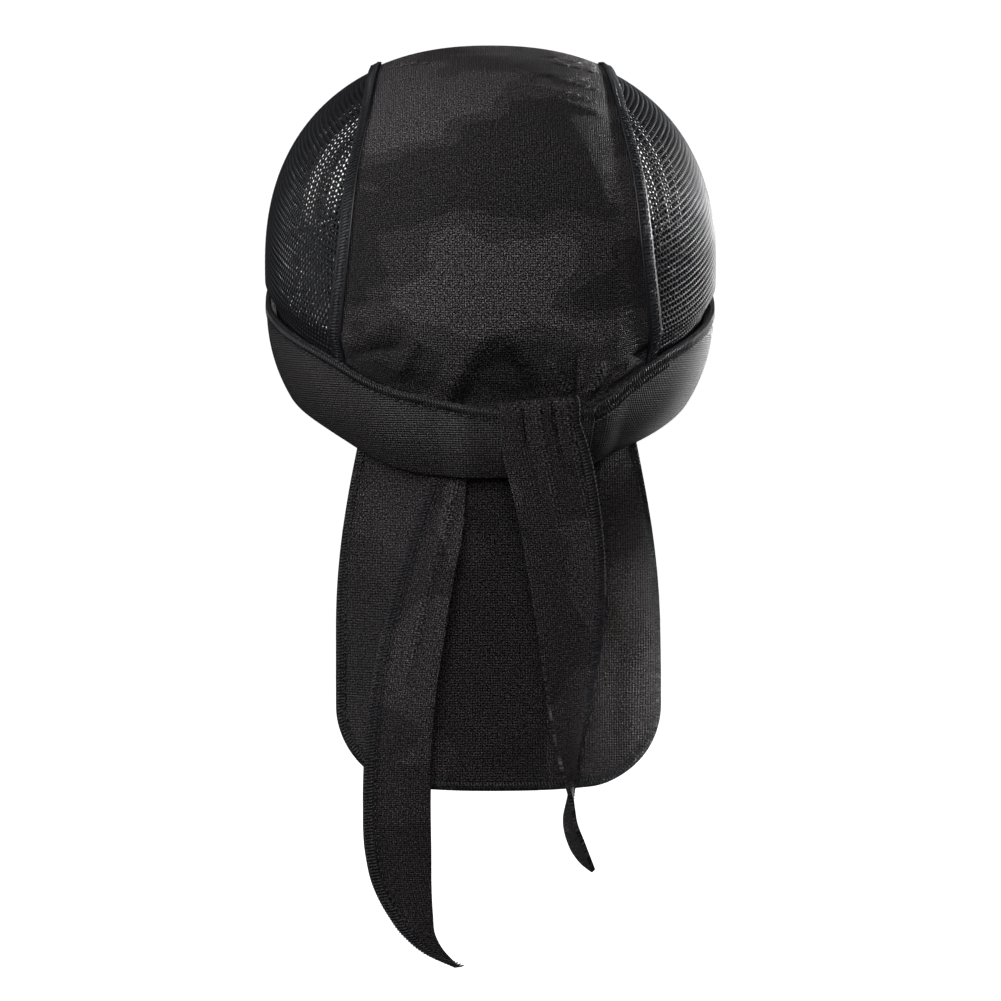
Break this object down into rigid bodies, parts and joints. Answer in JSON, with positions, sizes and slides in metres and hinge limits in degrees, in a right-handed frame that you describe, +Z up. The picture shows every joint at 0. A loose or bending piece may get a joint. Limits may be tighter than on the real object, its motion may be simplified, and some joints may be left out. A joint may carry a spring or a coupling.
{
  "type": "tied durag with mesh sides",
  "caption": "Close-fitting cloth head wrap with an opaque crown, mesh sides, a folded band knotted at the nape, a hanging neck flap and hanging ties.",
  "frame": {"origin": "the point inside the crown where the top of the wearer's head touches", "axes": "+Z up, the wearer faces +Y, the knot and the flap are at -Y, +X is the wearer's right"},
  "size_m": [0.1694, 0.1972, 0.33],
  "materials": {
    "crown_knit": "smooth stretch knit, brown-black, with faint darker and lighter blotches",
    "band_knit": "dotted stretch knit, brown-black, soft sheen",
    "flap_knit": "dotted stretch knit, brown-black, matt with a soft sheen",
    "air_mesh": "open knitted air mesh, blue-black",
    "seam_thread": "dense overlock stitching, blue-black"
  },
  "bodies": {
    "root": {"crown_panel": "crown_knit", "mesh_panel_left": "air_mesh", "mesh_panel_right": "air_mesh", "seam_left": "seam_thread", "seam_right": "seam_thread", "head_band": "band_knit", "neck_flap": "flap_knit", "front_tie": "flap_knit", "rear_tie": "flap_knit"}
  },
  "joints": []
}
